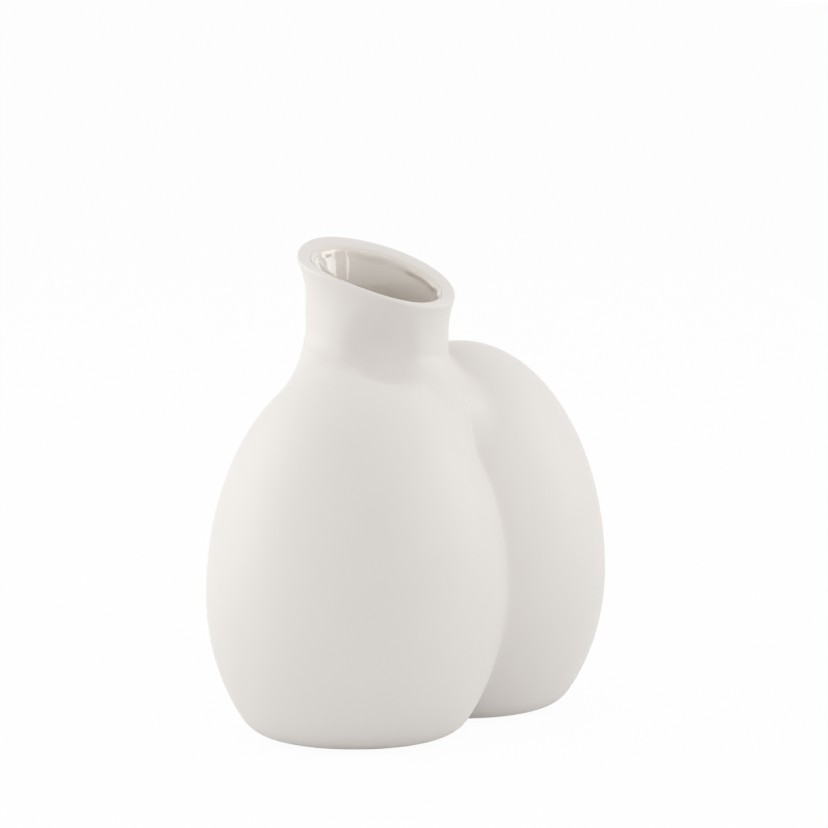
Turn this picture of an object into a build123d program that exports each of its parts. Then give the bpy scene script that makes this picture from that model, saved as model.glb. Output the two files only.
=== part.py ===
# Pillow vase: two swollen pillows that grow into each other, one offset neck with a slanted mouth,
# and a thin coat of glaze over the whole inside.
# Millimetres, +Z up. The vase stands on z = 0 with its pillows side by side along Y, the front one at -Y.
import os
from math import cos, radians, sqrt

from build123d import *

# Pillows: each is round in plan, widest low down, and drawn in again to a flat foot. They run into each other
# by their overlap, and each foot passes the middle by its lap.
pillow_radius = 46.0
pillow_overlap = 34.0
widest_height = 43.5
crown_rise = 72.5
foot_lap = 1.76
foot_edge_radius = 4.0

# One rolled radius softens the valley between the pillows and the root of the neck.
blend_radius = 7.0

# Neck: upright, round and off centre, narrower than half a pillow by its step. Its seam and its slanted mouth,
# which falls towards +X, stand above the pillows' crowns by these rises.
neck_step = 1.6
neck_x = -9.4
neck_y = -3.4
seam_rise = 6.0
mouth_rise = 25.1
mouth_tilt = 21.3
lip_flare = 2.7
lip_height = 13.0
lip_flat = 1.2

# Porcelain and glaze thicknesses. The glaze stops just inside the rounded lip.
wall = 4.0
floor = 6.0
glaze = 0.5
glaze_stop = 2.4

front_side = -1
rear_side = 1

pillow_reach = pillow_radius - pillow_overlap / 2
neck_radius = (pillow_radius - neck_step) / 2
foot_radius = pillow_reach + foot_lap
foot_drop = widest_height / sqrt(1 - (foot_radius / pillow_radius) ** 2)
crown_height = widest_height + crown_rise
mouth_height = crown_height + mouth_rise
lip_radius = (wall - lip_flat) / 2


def lip_plane(drop):
    # The slanted plane that lies this far below the mouth along the neck's axis.
    return Plane(Location((neck_x, neck_y, mouth_height - drop), (0, mouth_tilt, 0)))


def stretched_dome(inset, rise, lowest, highest, level_face):
    # Half a ball, stretched upright about its level face.
    radius = pillow_radius - inset
    with BuildPart() as dome:
        Sphere(radius, lowest, highest, align=(Align.CENTER, Align.CENTER, level_face))
        scale(by=(1, 1, (rise - inset) / radius))
    return dome.part


def pillow_pair(inset, floor_height):
    # Each pillow is a tall crown over a shorter foot, joined at the widest level and cut flat at the floor.
    with BuildPart() as pair:
        for side in (front_side, rear_side):
            widest_centre = (0, side * pillow_reach, widest_height)
            with Locations(Location(widest_centre, (0, 0, side * 90))):
                add(stretched_dome(inset, crown_rise, 0, 90, Align.MIN))
                add(stretched_dome(inset, foot_drop, -90, 0, Align.MAX))
        split(bisect_by=Plane.XY.offset(floor_height), keep=Keep.TOP)
    return pair.part


def neck_stem(inset):
    # A round stem from the pillows' widest level up to the slanted mouth.
    with BuildPart() as stem:
        with BuildSketch(Plane((neck_x, neck_y, widest_height))):
            Circle(neck_radius - inset)
        extrude(amount=mouth_height)
        split(bisect_by=lip_plane(0), keep=Keep.BOTTOM)
    return stem.part


def flared_lip(inset):
    # The lip opens out slowly, then faster, through three ovals that follow the slanted mouth.
    slant = cos(radians(mouth_tilt))
    with BuildPart() as lip:
        for rise in (0, 0.5, 1):
            reach = neck_radius - inset + lip_flare * rise**2
            with BuildSketch(lip_plane(lip_height * (1 - rise))):
                Ellipse(reach / slant, reach)
        loft()
    return lip.part


def hollow_form(inset, floor_height):
    # The inside of the vase at one depth below its outer face.
    with BuildPart() as hollow:
        add(pillow_pair(inset, floor_height))
        add(neck_stem(inset))
        split(bisect_by=lip_plane(lip_height), keep=Keep.BOTTOM)
        add(flared_lip(inset))
    return hollow.part


# The whole porcelain shell, before it is parted at its seams.
with BuildPart() as shell:
    add(pillow_pair(0, 0))
    add(neck_stem(0))
    neck_root = edges(Select.NEW)
    valley = edges().filter_by(Plane.XZ).filter_by_position(Axis.Y, -wall, wall).filter_by(GeomType.BSPLINE)
    fillet(neck_root + valley, blend_radius)
    fillet(faces().sort_by(Axis.Z)[0].edges(), foot_edge_radius)
    split(bisect_by=lip_plane(lip_height), keep=Keep.BOTTOM)
    add(flared_lip(0))
    add(hollow_form(wall, floor), mode=Mode.SUBTRACT)
    mouth_rim = faces().filter_by(lip_plane(0)).sort_by(Axis.Z)[-1]
    fillet(mouth_rim.edges(), lip_radius)

neck_seam = Plane.XY.offset(crown_height + seam_rise)

with BuildPart() as front_pillow:
    add(shell.part)
    split(bisect_by=neck_seam, keep=Keep.BOTTOM)
    split(bisect_by=Plane.XZ, keep=Keep.TOP)

with BuildPart() as rear_pillow:
    add(shell.part)
    split(bisect_by=neck_seam, keep=Keep.BOTTOM)
    split(bisect_by=Plane.XZ, keep=Keep.BOTTOM)

with BuildPart() as neck:
    add(shell.part)
    split(bisect_by=neck_seam, keep=Keep.TOP)

with BuildPart() as glaze_lining:
    add(hollow_form(wall, floor))
    add(hollow_form(wall + glaze, floor + glaze), mode=Mode.SUBTRACT)
    split(bisect_by=lip_plane(glaze_stop), keep=Keep.BOTTOM)

front_pillow.part.label = "front_pillow"
rear_pillow.part.label = "rear_pillow"
neck.part.label = "neck"
glaze_lining.part.label = "glaze_lining"

os.makedirs("parts", exist_ok=True)
for node in (front_pillow, rear_pillow, neck, glaze_lining):
    export_step(node.part, f"parts/{node.part.label}.step")
    print(node.part.label, round(node.part.volume), "mm3,", len(node.part.solids()), "solid")
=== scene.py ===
import math

import bmesh
import bpy
from mathutils import Matrix, Vector


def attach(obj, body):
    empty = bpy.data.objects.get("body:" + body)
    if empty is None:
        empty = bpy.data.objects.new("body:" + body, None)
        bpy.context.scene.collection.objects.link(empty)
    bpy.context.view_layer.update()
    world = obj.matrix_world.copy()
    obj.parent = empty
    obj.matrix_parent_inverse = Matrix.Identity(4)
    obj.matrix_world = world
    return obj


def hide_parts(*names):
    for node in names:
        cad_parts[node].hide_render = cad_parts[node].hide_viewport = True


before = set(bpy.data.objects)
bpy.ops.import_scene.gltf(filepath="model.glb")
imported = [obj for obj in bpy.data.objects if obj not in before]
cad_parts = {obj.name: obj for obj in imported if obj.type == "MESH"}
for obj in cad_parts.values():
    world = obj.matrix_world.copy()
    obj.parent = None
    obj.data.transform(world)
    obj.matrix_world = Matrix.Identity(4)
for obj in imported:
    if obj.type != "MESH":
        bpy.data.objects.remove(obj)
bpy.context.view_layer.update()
mm = 0.001
print("frame loaded:", ", ".join(sorted(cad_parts)))


# Node maths as plain expressions, for geometry and materials alike.
class Wire:
    def __init__(self, tree, socket=None):
        self.tree = tree
        self.socket = socket

    def plug(self, target, value):
        if isinstance(value, Wire):
            self.tree.links.new(value.socket, target)
        else:
            target.default_value = value

    # any other node: its type, its settings, then the values or links of its sockets
    def node(self, kind, settings=None, sockets=None, out=0):
        made = self.tree.nodes.new(kind)
        for name, value in (settings or {}).items():
            setattr(made, name, value)
        for name, value in (sockets or {}).items():
            self.plug(made.inputs[name], value)
        return Wire(self.tree, made.outputs[out])

    def maths(self, operation, *others):
        values = dict(enumerate((self,) + others))
        return self.node("ShaderNodeMath", {"operation": operation}, values)

    def flipped(self, operation, other):
        return self.node("ShaderNodeMath", {"operation": operation}, {0: other, 1: self})

    def __add__(self, other):
        return self.maths("ADD", other)

    def __sub__(self, other):
        return self.maths("SUBTRACT", other)

    def __mul__(self, other):
        return self.maths("MULTIPLY", other)

    def __truediv__(self, other):
        return self.maths("DIVIDE", other)

    def __pow__(self, other):
        return self.maths("POWER", other)

    def __rsub__(self, other):
        return self.flipped("SUBTRACT", other)

    def __rtruediv__(self, other):
        return self.flipped("DIVIDE", other)

    __radd__ = __add__
    __rmul__ = __mul__

    def sqrt(self):
        return self.maths("SQRT")

    def size(self):
        return self.maths("ABSOLUTE")

    def least(self, other):
        return self.maths("MINIMUM", other)

    def most(self, other):
        return self.maths("MAXIMUM", other)

    def clamp(self):
        return self.most(0.0).least(1.0)

    def above(self, other):
        return self.maths("GREATER_THAN", other)

    def vector(self, x, y, z):
        return self.node("ShaderNodeCombineXYZ", None, {0: x, 1: y, 2: z})

    def split(self):
        return [self.node("ShaderNodeSeparateXYZ", None, {0: self}, out) for out in range(3)]

    def scaled(self, factor):
        return self.node("ShaderNodeVectorMath", {"operation": "SCALE"}, {0: self, "Scale": factor})

    def joined(self, other):
        return self.node("ShaderNodeVectorMath", {"operation": "ADD"}, {0: self, 1: other})


def mix(low, high, share):
    return low + (high - low) * share


def heading(degrees):
    return Vector((math.cos(math.radians(degrees)), math.sin(math.radians(degrees))))


# Vase form, in millimetres: the solids' main sizes, with the mouth and the neck's root shaped further.
vaseForm = {
    "pillowRadius": 46.0,
    "pillowSpacing": 58.0,
    "widestHeight": 43.5,
    "crownRise": 72.5,
    "footDrop": 58.5,
    "neckRadius": 22.2,
    "neckX": -9.4,
    "neckY": -3.4,
    "mouthHeight": 141.7,
    "mouthTilt": 20.2,  # degrees, falling towards +X
    "mouthBow": 0.8,  # both ends of the mouth droop by about this much
    "mouthDroop": 1.9,  # and its near corner at -X by more
    "lipFlare": 2.75,
    "flareLean": 0.15,  # the lip opens wider at its high end
    "lipRise": 13.0,
    "valleyBlend": 2.5,  # how far the softening reaches
    "crownBlend": 3.0,  # tight where the neck meets the crowns
    "sideBlend": 30.0,  # wide where it runs down to the valley
    "sideFade": 28.0,  # the wide part ends this far above the widest level
    "cornerBlend": 16.0,  # extra softening between the -X side and the front crown
    "footBlend": 5.5,
    "recessX": 8.6,  # a thumb's hollow where the neck meets the front crown
    "recessY": -26.2,
    "recessZ": 120.0,
    "recessRadius": 11.0,
    "recessBlend": 6.0,
}
plainNumbers = ("mouthSlope", "flareLean")  # all the other sizes are lengths

# How finely the skin is drawn, in rows up the outside and back down the inside.
skinRows = {"flank": 100, "neck": 70, "lip": 14, "columns": 240, "steps": 60}
beadBreaks = {"scale": 150.0, "gain": 3.0, "cut": 0.9}
weldDistance = 0.01
heartHeight = 60.0  # every row looks out from the neck's axis, this high at first
farReach = 160.0  # and starts this far out
stepShare = 0.85  # part of the distance left that one step covers
flankTop = math.radians(58)  # steepest look before the rows climb the neck
lipRound = 0.45  # part of the lip's rows that round over its outer edge
lipEase = 1.5

# Where the form is softened or droops, and how closely it keeps to that side.
cornerTowards = heading(235)
droopTowards = heading(225)
sideFocus = 6.0
sideLean = 0.1  # a little more to +X
droopFocus = 4.0


def smoothMin(a, b, reach):
    near = (reach - (a - b).size()).most(0.0) / reach
    return a.least(b) - near * near * reach * 0.25


def smoothMax(a, b, reach):
    near = (reach - (a - b).size()).most(0.0) / reach
    return a.most(b) + near * near * reach * 0.25


# Distance to an upright egg, taller above its widest level than below it.
def eggDistance(x, y, z, radius, crown, foot):
    up = z.above(0.0)
    rise = mix(foot, crown, up)
    across = x * x + y * y
    tall = z * z
    ratio = (across / (radius * radius) + tall / (rise * rise)).sqrt()
    slope = (across / radius**4 + tall / rise**4).sqrt().most(1e-6)
    return ratio * (ratio - 1.0) / slope


# The mouth's level, this far to +X and +Y of the neck's axis.
def mouthLevel(size, sideways, depth):
    bowed = sideways / size["neckRadius"]
    drooped = ((sideways * droopTowards.x + depth * droopTowards.y) / size["neckRadius"]).most(0.0)
    fall = size["mouthSlope"] * sideways + size["mouthBow"] * bowed * bowed
    return size["mouthHeight"] - fall - size["mouthDroop"] * drooped**droopFocus


# How far the lip stands out, from where it is across the mouth and how near its edge is.
def flareOut(size, across, opened):
    return size["lipFlare"] * (1.0 - size["flareLean"] * across) * opened * opened


# Distance to the vase's outer face, before its floor is cut.
def vaseDistance(point, size):
    x, y, z = point.split()
    height = z - size["widestHeight"]
    apart = size["pillowSpacing"] * 0.5
    egg = size["pillowRadius"], size["crownRise"], size["footDrop"]
    front = eggDistance(x, y + apart, height, *egg)
    rear = eggDistance(x, y - apart, height, *egg)
    pillows = smoothMin(front, rear, size["valleyBlend"])
    sideways = x - size["neckX"]
    depth = y - size["neckY"]
    below = (mouthLevel(size, sideways, depth) - z) / size["lipRise"]
    across = (sideways * sideways + depth * depth).sqrt().most(1e-6)
    towards = sideways / across
    neck = across - size["neckRadius"] - flareOut(size, towards, (1.0 - below).clamp())
    neck = neck.most(height * -1.0)  # the stem starts at the pillows' widest level
    # the softening widens to both sides, most to +X, and only between the lip and the valley's upper half
    sideOn = towards.size()**sideFocus * (1.0 - sideLean + sideLean * towards)
    sideOn = sideOn * (below - 1.0).clamp() * (height / size["sideFade"] - 1.0).clamp()
    cornerOn = (towards * cornerTowards.x + depth / across * cornerTowards.y).clamp()**sideFocus
    cornerOn = cornerOn * (below - 1.0).clamp()
    soft = mix(size["crownBlend"], size["sideBlend"], sideOn) + size["cornerBlend"] * cornerOn
    skin = smoothMin(pillows, neck, soft)
    thumbX, thumbY, thumbZ = x - size["recessX"], y - size["recessY"], z - size["recessZ"]
    thumb = (thumbX * thumbX + thumbY * thumbY + thumbZ * thumbZ).sqrt()
    return smoothMax(skin, size["recessRadius"] - thumb, size["recessBlend"])


# One tree draws any coat of the vase: up its outer depth, over the lip and down its inner depth.
def coatTree(name, material):
    tree = bpy.data.node_groups.new(name, "GeometryNodeTree")
    tree.interface.new_socket("Geometry", in_out="OUTPUT", socket_type="NodeSocketGeometry")
    wire = Wire(tree)
    names = [n for n in vaseForm if n != "mouthTilt"] + ["mouthSlope"]
    names += ["outerDepth", "innerDepth", "outerFloor", "innerFloor"]
    names += ["lipTop", "outerDrop", "innerDrop", "lipCrest", "beadHeight", "beadDrop", "beadReach"]
    ids = {}
    for label in names:
        socket = tree.interface.new_socket(label, in_out="INPUT", socket_type="NodeSocketFloat")
        ids[label] = socket.identifier
    given = tree.nodes.new("NodeGroupInput")
    size = {label: Wire(tree, given.outputs[label]) for label in names}

    flank, neck, lip = skinRows["flank"], skinRows["neck"], skinRows["lip"]
    total = 2 * flank + 2 * neck + lip
    grid = wire.node("GeometryNodeMeshGrid", None, {
        "Size X": 1.0, "Size Y": 1.0, "Vertices X": skinRows["columns"] + 1, "Vertices Y": total + 1})
    gridX, gridY, _ = wire.node("GeometryNodeInputPosition").split()
    turn = (gridX + 0.5) * math.tau
    cosTurn = turn.maths("COSINE")
    sinTurn = turn.maths("SINE")

    # how far each row is through each stretch of the way up, over and down
    row = (gridY + 0.5) * float(total)
    start = 0
    share = []
    for count in (flank, neck, lip, neck, flank):
        share.append(((row - float(start)) / float(count)).clamp())
        start += count
    flankShare = share[0] - share[4]
    neckShare = share[1] - share[3]
    lipShare = share[2]
    inside = lipShare.above(0.999)
    onLip = lipShare.above(0.001) - inside
    depth = mix(size["outerDepth"], size["innerDepth"], inside)
    floorLevel = mix(size["outerFloor"], size["innerFloor"], inside)

    # the row's look direction: a fan from straight down, then level rings climbing the neck
    tilt = flankShare * (flankTop + math.pi / 2) - math.pi / 2
    edgeDrop = mix(size["outerDrop"], size["innerDrop"], inside)
    edgeOpen = 1.0 - edgeDrop / size["lipRise"]
    edgeRadius = size["neckRadius"] - depth + flareOut(size, cosTurn, edgeOpen)
    heart = heartHeight * mm
    neckStart = size["neckRadius"] * math.tan(flankTop) + heart
    edgeLevel = mouthLevel(size, edgeRadius * cosTurn, edgeRadius * sinTurn) - edgeDrop
    ringHeight = mix(neckStart, edgeLevel, neckShare)
    eyeHeight = mix(heart, ringHeight, neckShare)
    onNeck = neckShare.above(0.0)
    lookOut = mix(tilt.maths("COSINE"), size["neckRadius"], onNeck)
    lookUp = mix(tilt.maths("SINE"), ringHeight - eyeHeight, onNeck)
    look = wire.vector(lookOut * cosTurn, lookOut * sinTurn, lookUp)
    look = wire.node("ShaderNodeVectorMath", {"operation": "NORMALIZE"}, {0: look})
    eye = wire.vector(size["neckX"], size["neckY"], eyeHeight)
    farPoint = eye.joined(look.scaled(farReach * mm))

    # the lip rounds over to a crest near its outside, then slopes down to the inside
    arc = (1.0 - lipShare / lipRound).clamp() * (math.pi / 2)
    slope = ((lipShare - lipRound) / (1.0 - lipRound)).clamp()
    lipFall = mix(size["outerDrop"], size["lipTop"], arc.maths("COSINE"))
    lipFall = lipFall + (size["innerDrop"] - size["lipTop"]) * slope**lipEase
    lipDepth = size["outerDepth"] + size["lipCrest"] * (1.0 - arc.maths("SINE"))
    lipDepth = lipDepth + (size["innerDepth"] - size["outerDepth"] - size["lipCrest"]) * slope
    lipOpen = 1.0 - lipFall / size["lipRise"]
    lipRadius = size["neckRadius"] - lipDepth + flareOut(size, cosTurn, lipOpen)
    lipX = lipRadius * cosTurn
    lipY = lipRadius * sinTurn
    lipLevel = mouthLevel(size, lipX, lipY) - lipFall
    lipPoint = wire.vector(size["neckX"] + lipX, size["neckY"] + lipY, lipLevel)
    begin = wire.node("ShaderNodeMix", {"data_type": "VECTOR"}, {0: onLip, 4: farPoint, 5: lipPoint}, 1)

    placed = grid
    kept = (("look", "FLOAT_VECTOR", look.scaled(1.0 - onLip)), ("depth", "FLOAT", depth),
            ("floorLevel", "FLOAT", floorLevel), ("begin", "FLOAT_VECTOR", begin), ("inner", "FLOAT", inside))
    for label, kind, value in kept:
        placed = wire.node("GeometryNodeStoreNamedAttribute", {"data_type": kind, "domain": "POINT"},
                           {"Geometry": placed, "Name": label, "Value": value})

    def stored(label, kind):
        return wire.node("GeometryNodeInputNamedAttribute", {"data_type": kind}, {"Name": label})

    placed = wire.node("GeometryNodeSetPosition", None,
                       {"Geometry": placed, "Position": stored("begin", "FLOAT_VECTOR")})

    # walk every point along its look until it lies on the coat
    walkIn = tree.nodes.new("GeometryNodeRepeatInput")
    walkOut = tree.nodes.new("GeometryNodeRepeatOutput")
    walkIn.pair_with_output(walkOut)
    walkIn.inputs["Iterations"].default_value = skinRows["steps"]
    wire.plug(walkIn.inputs["Geometry"], placed)
    point = wire.node("GeometryNodeInputPosition")
    pointX, pointY, pointZ = point.split()
    away = vaseDistance(point, size) + stored("depth", "FLOAT")
    # a glaze gathers in a broken bead just under its edge
    edgeAbove = mouthLevel(size, pointX - size["neckX"], pointY - size["neckY"]) - pointZ
    fromBead = (edgeAbove - size["beadDrop"]) / size["beadReach"]
    noise = {"Vector": point, "Scale": beadBreaks["scale"], "Detail": 1.0}
    gathered = wire.node("ShaderNodeTexNoise", None, noise) * beadBreaks["gain"] - beadBreaks["cut"]
    bead = (1.0 - fromBead * fromBead).most(0.0) * gathered.clamp()
    away = away + bead * size["beadHeight"] * stored("inner", "FLOAT")
    away = smoothMax(away, stored("floorLevel", "FLOAT") - pointZ, size["footBlend"])
    step = stored("look", "FLOAT_VECTOR").scaled(away * -stepShare)
    walked = wire.node("GeometryNodeSetPosition", None,
                       {"Geometry": Wire(tree, walkIn.outputs["Geometry"]), "Offset": step})
    wire.plug(walkOut.inputs["Geometry"], walked)

    shape = Wire(tree, walkOut.outputs["Geometry"])
    shape = wire.node("GeometryNodeMergeByDistance", None, {"Geometry": shape, "Distance": weldDistance * mm})
    for label, _, _ in kept:
        shape = wire.node("GeometryNodeRemoveAttribute", None, {"Geometry": shape, "Name": label})
    shape = wire.node("GeometryNodeSetShadeSmooth", None, {"Geometry": shape, "Shade Smooth": True})
    shape = wire.node("GeometryNodeRealizeInstances", None, {"Geometry": shape})
    shape = wire.node("GeometryNodeSetMaterial", None, {"Geometry": shape, "Material": material})
    result = tree.nodes.new("NodeGroupOutput")
    wire.plug(result.inputs[0], shape)
    return tree, ids


def coatPiece(name, coat, material):
    tree, ids = coatTree(name + "Tree", material)
    carrier = bpy.data.objects.new(name + "Carrier", bpy.data.meshes.new(name + "Blank"))
    bpy.context.collection.objects.link(carrier)
    modifier = carrier.modifiers.new("coat", "NODES")
    modifier.node_group = tree
    sizes = dict(vaseForm, **coat)
    sizes["mouthSlope"] = math.tan(math.radians(sizes.pop("mouthTilt")))
    for label, value in sizes.items():
        modifier[ids[label]] = value if label in plainNumbers else value * mm
    depsgraph = bpy.context.evaluated_depsgraph_get()
    mesh = bpy.data.meshes.new_from_object(carrier.evaluated_get(depsgraph))
    mesh.name = name
    bpy.data.objects.remove(carrier)
    shell = bmesh.new()
    shell.from_mesh(mesh)
    bmesh.ops.recalc_face_normals(shell, faces=shell.faces)
    openEdges = sum(1 for edge in shell.edges if len(edge.link_faces) != 2)
    shell.to_mesh(mesh)
    shell.free()
    piece = bpy.data.objects.new(name, mesh)
    bpy.context.collection.objects.link(piece)
    print(name, "drawn:", len(mesh.polygons), "faces,", openEdges, "open edges")
    return piece


def newMaterial(name):
    material = bpy.data.materials.new(name)
    material.use_nodes = True
    tree = material.node_tree
    return material, Wire(tree), tree.nodes["Principled BSDF"]


def colour(wire, low, high, share):
    return wire.node("ShaderNodeMix", {"data_type": "RGBA"}, {0: share, 6: low, 7: high}, 2)


# Bisque: unglazed porcelain, chalky and fine grained, with faint clouds in its tone.
bisqueLook = {
    "pale": (0.85, 0.815, 0.785, 1.0),
    "deep": (0.78, 0.745, 0.715, 1.0),
    "cloudSize": 30.0,
    "grainSize": 1700.0,
    "grainHeight": 0.00002,
    "grainStrength": 0.6,
    "cloudShare": 0.7,
    "roughness": (0.38, 0.58),
    "specular": 0.5,
}


def bisqueMaterial():
    material, wire, shader = newMaterial("bisque")
    place = wire.node("ShaderNodeTexCoord", None, None, "Object")
    cloud = wire.node("ShaderNodeTexNoise", None, {
        "Vector": place, "Scale": bisqueLook["cloudSize"], "Detail": 4.0, "Roughness": 0.6})
    grain = wire.node("ShaderNodeTexNoise", None, {
        "Vector": place, "Scale": bisqueLook["grainSize"], "Detail": 3.0, "Roughness": 0.7})
    tone = mix(grain, cloud, bisqueLook["cloudShare"]).clamp()
    wire.plug(shader.inputs["Base Color"], colour(wire, bisqueLook["deep"], bisqueLook["pale"], tone))
    smooth, rough = bisqueLook["roughness"]
    wire.plug(shader.inputs["Roughness"], smooth + (rough - smooth) * grain)
    bump = wire.node("ShaderNodeBump", None, {
        "Strength": bisqueLook["grainStrength"], "Distance": bisqueLook["grainHeight"], "Height": grain})
    wire.plug(shader.inputs["Normal"], bump)
    shader.inputs["Specular IOR Level"].default_value = bisqueLook["specular"]
    return material


# Glaze: a glassy coat, warm grey, a little deeper where it has run down.
glazeLook = {
    "thin": (0.80, 0.745, 0.68, 1.0),
    "pooled": (0.70, 0.64, 0.57, 1.0),
    "rippleSize": 60.0,
    "rippleHeight": 0.0002,
    "rippleStrength": 0.3,
    "heightShare": 0.7,
    "roughness": (0.02, 0.07),
    "coat": 1.0,
    "coatRoughness": 0.03,
}


def glazeMaterial():
    material, wire, shader = newMaterial("glaze")
    place = wire.node("ShaderNodeTexCoord", None, None, "Object")
    _, _, height = place.split()
    ripple = wire.node("ShaderNodeTexNoise", None, {
        "Vector": place, "Scale": glazeLook["rippleSize"], "Detail": 2.0, "Roughness": 0.4})
    run = mix(ripple, height / (vaseForm["mouthHeight"] * mm), glazeLook["heightShare"]).clamp()
    wire.plug(shader.inputs["Base Color"], colour(wire, glazeLook["pooled"], glazeLook["thin"], run))
    smooth, rough = glazeLook["roughness"]
    wire.plug(shader.inputs["Roughness"], smooth + (rough - smooth) * ripple)
    bump = wire.node("ShaderNodeBump", None, {
        "Strength": glazeLook["rippleStrength"], "Distance": glazeLook["rippleHeight"], "Height": ripple})
    wire.plug(shader.inputs["Normal"], bump)
    shader.inputs["Coat Weight"].default_value = glazeLook["coat"]
    shader.inputs["Coat Roughness"].default_value = glazeLook["coatRoughness"]
    return material


porcelainCoat = {"outerDepth": 0.0, "innerDepth": 4.0, "outerFloor": 0.0, "innerFloor": 6.0,
                 "lipTop": 0.0, "outerDrop": 1.4, "innerDrop": 1.4, "lipCrest": 1.0,
                 "beadHeight": 0.0, "beadDrop": 3.8, "beadReach": 1.2}
porcelain = coatPiece("porcelain", porcelainCoat, bisqueMaterial())
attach(porcelain, "root")
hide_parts("front_pillow", "rear_pillow", "neck")

liningCoat = {"outerDepth": 4.02, "innerDepth": 4.5, "outerFloor": 6.02, "innerFloor": 6.5,
              "lipTop": 1.4, "outerDrop": 1.8, "innerDrop": 1.8, "lipCrest": 0.2,
              "beadHeight": 0.8, "beadDrop": 2.8, "beadReach": 1.4}
lining = coatPiece("glazeCoat", liningCoat, glazeMaterial())
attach(lining, "root")
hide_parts("glaze_lining")
print("vase skinned")

# Camera, from the fit of the form to the photograph.
photoView = {
    "turn": 34.07,  # degrees round from the front
    "rise": 8.11,
    "away": 1700.0,
    "pixelsPerMm": 3.21,
    "frame": 828,  # pixels each way
    "sensor": 36.0,
    "lookAt": 75.0,  # height that lands on the pixel below
    "pixel": (408.3, 481.4),
}


def viewAxes():
    turn = math.radians(photoView["turn"])
    rise = math.radians(photoView["rise"])
    right = Vector((math.cos(turn), math.sin(turn), 0))
    ahead = Vector((-math.sin(turn) * math.cos(rise), math.cos(turn) * math.cos(rise), -math.sin(rise)))
    return right, ahead, right.cross(ahead)


def addCamera():
    right, ahead, up = viewAxes()
    lens = bpy.data.cameras.new("photoCamera")
    lens.sensor_width = photoView["sensor"]
    lens.lens = photoView["sensor"] * photoView["away"] * photoView["pixelsPerMm"] / photoView["frame"]
    lens.clip_start = 0.01
    middle = photoView["frame"] / 2
    slideX = (middle - photoView["pixel"][0]) / photoView["pixelsPerMm"]
    slideY = (photoView["pixel"][1] - middle) / photoView["pixelsPerMm"]
    aim = Vector((0, 0, photoView["lookAt"]))
    spot = aim - ahead * photoView["away"] + right * slideX + up * slideY
    camera = bpy.data.objects.new("photoCamera", lens)
    axes = Matrix((right, up, -ahead)).transposed()
    camera.matrix_world = Matrix.Translation(spot * mm) @ axes.to_4x4()
    bpy.context.collection.objects.link(camera)
    bpy.context.scene.camera = camera


addCamera()

# Studio: a pale floor, a white surround and soft panels. Places are to the camera's right, towards it and up.
studio = {
    "floorSize": 6.0,
    "floorTints": ((0.88, 0.88, 0.875, 1.0), (0.9, 0.9, 0.9, 1.0)),
    "floorClouds": 8.0,
    "floorWhite": 0.95,  # the rest is the lit floor, which holds the shadow
    "surround": 0.75,
    "aimHeight": 0.07,
    "panels": (
        ("leftPanel", (-0.9, -0.1, 0.35), (0.85, 0.85), 3.1),
        ("rightPanel", (0.9, -0.2, 0.4), (0.4, 0.6), 1.5),
        ("stripPanel", (0.9, 0.44, 0.55), (0.08, 0.9), 0.5),
        ("ceilingPanel", (0.0, 0.35, 1.0), (1.4, 0.015), 0.5),
    ),
}


def rayWhite(wire):
    path = "ShaderNodeLightPath"
    seen = wire.node(path, None, None, "Is Camera Ray")
    mirrored = wire.node(path, None, None, "Is Glossy Ray")
    through = wire.node(path, None, None, "Is Transmission Ray")
    return seen.most(mirrored).most(through)


def addFloor():
    material = bpy.data.materials.new("paleFloor")
    material.use_nodes = True
    tree = material.node_tree
    tree.nodes.clear()
    wire = Wire(tree)
    place = wire.node("ShaderNodeTexCoord", None, None, "Object")
    noise = {"Vector": place, "Scale": studio["floorClouds"], "Detail": 2.0}
    tint = colour(wire, *studio["floorTints"], wire.node("ShaderNodeTexNoise", None, noise))
    matt = wire.node("ShaderNodeBsdfDiffuse", None, {"Color": tint})
    white = wire.node("ShaderNodeEmission", None, {"Color": (1, 1, 1, 1), "Strength": 1.0})
    shown = wire.node("ShaderNodeMixShader", None, {
        0: rayWhite(wire) * studio["floorWhite"], 1: matt, 2: white})
    wire.plug(tree.nodes.new("ShaderNodeOutputMaterial").inputs["Surface"], shown)
    half = studio["floorSize"] / 2
    mesh = bpy.data.meshes.new("floor")
    corners = [(-half, -half, 0), (half, -half, 0), (half, half, 0), (-half, half, 0)]
    mesh.from_pydata(corners, [], [(0, 1, 2, 3)])
    mesh.materials.append(material)
    floor = bpy.data.objects.new("floor", mesh)
    bpy.context.collection.objects.link(floor)


def addLight():
    right, ahead, _ = viewAxes()
    towards = Vector((-ahead.x, -ahead.y, 0)).normalized()
    middle = Vector((0, 0, studio["aimHeight"]))
    for name, (side, near, up), size, power in studio["panels"]:
        lamp = bpy.data.lights.new(name, "AREA")
        lamp.shape = "RECTANGLE"
        lamp.size, lamp.size_y = size
        lamp.energy = power
        panel = bpy.data.objects.new(name, lamp)
        spot = right * side + towards * near + Vector((0, 0, up))
        panel.location = spot
        panel.rotation_mode = "QUATERNION"
        panel.rotation_quaternion = (middle - spot).to_track_quat("-Z", "Y")
        bpy.context.collection.objects.link(panel)
    world = bpy.data.worlds.new("surround")
    world.use_nodes = True
    bpy.context.scene.world = world
    wire = Wire(world.node_tree)
    backdrop = world.node_tree.nodes["Background"]
    backdrop.inputs["Color"].default_value = (1, 1, 1, 1)
    wire.plug(backdrop.inputs["Strength"], rayWhite(wire).most(studio["surround"]))


addFloor()
addLight()
bpy.context.scene.view_settings.view_transform = "Standard"
print("studio set")
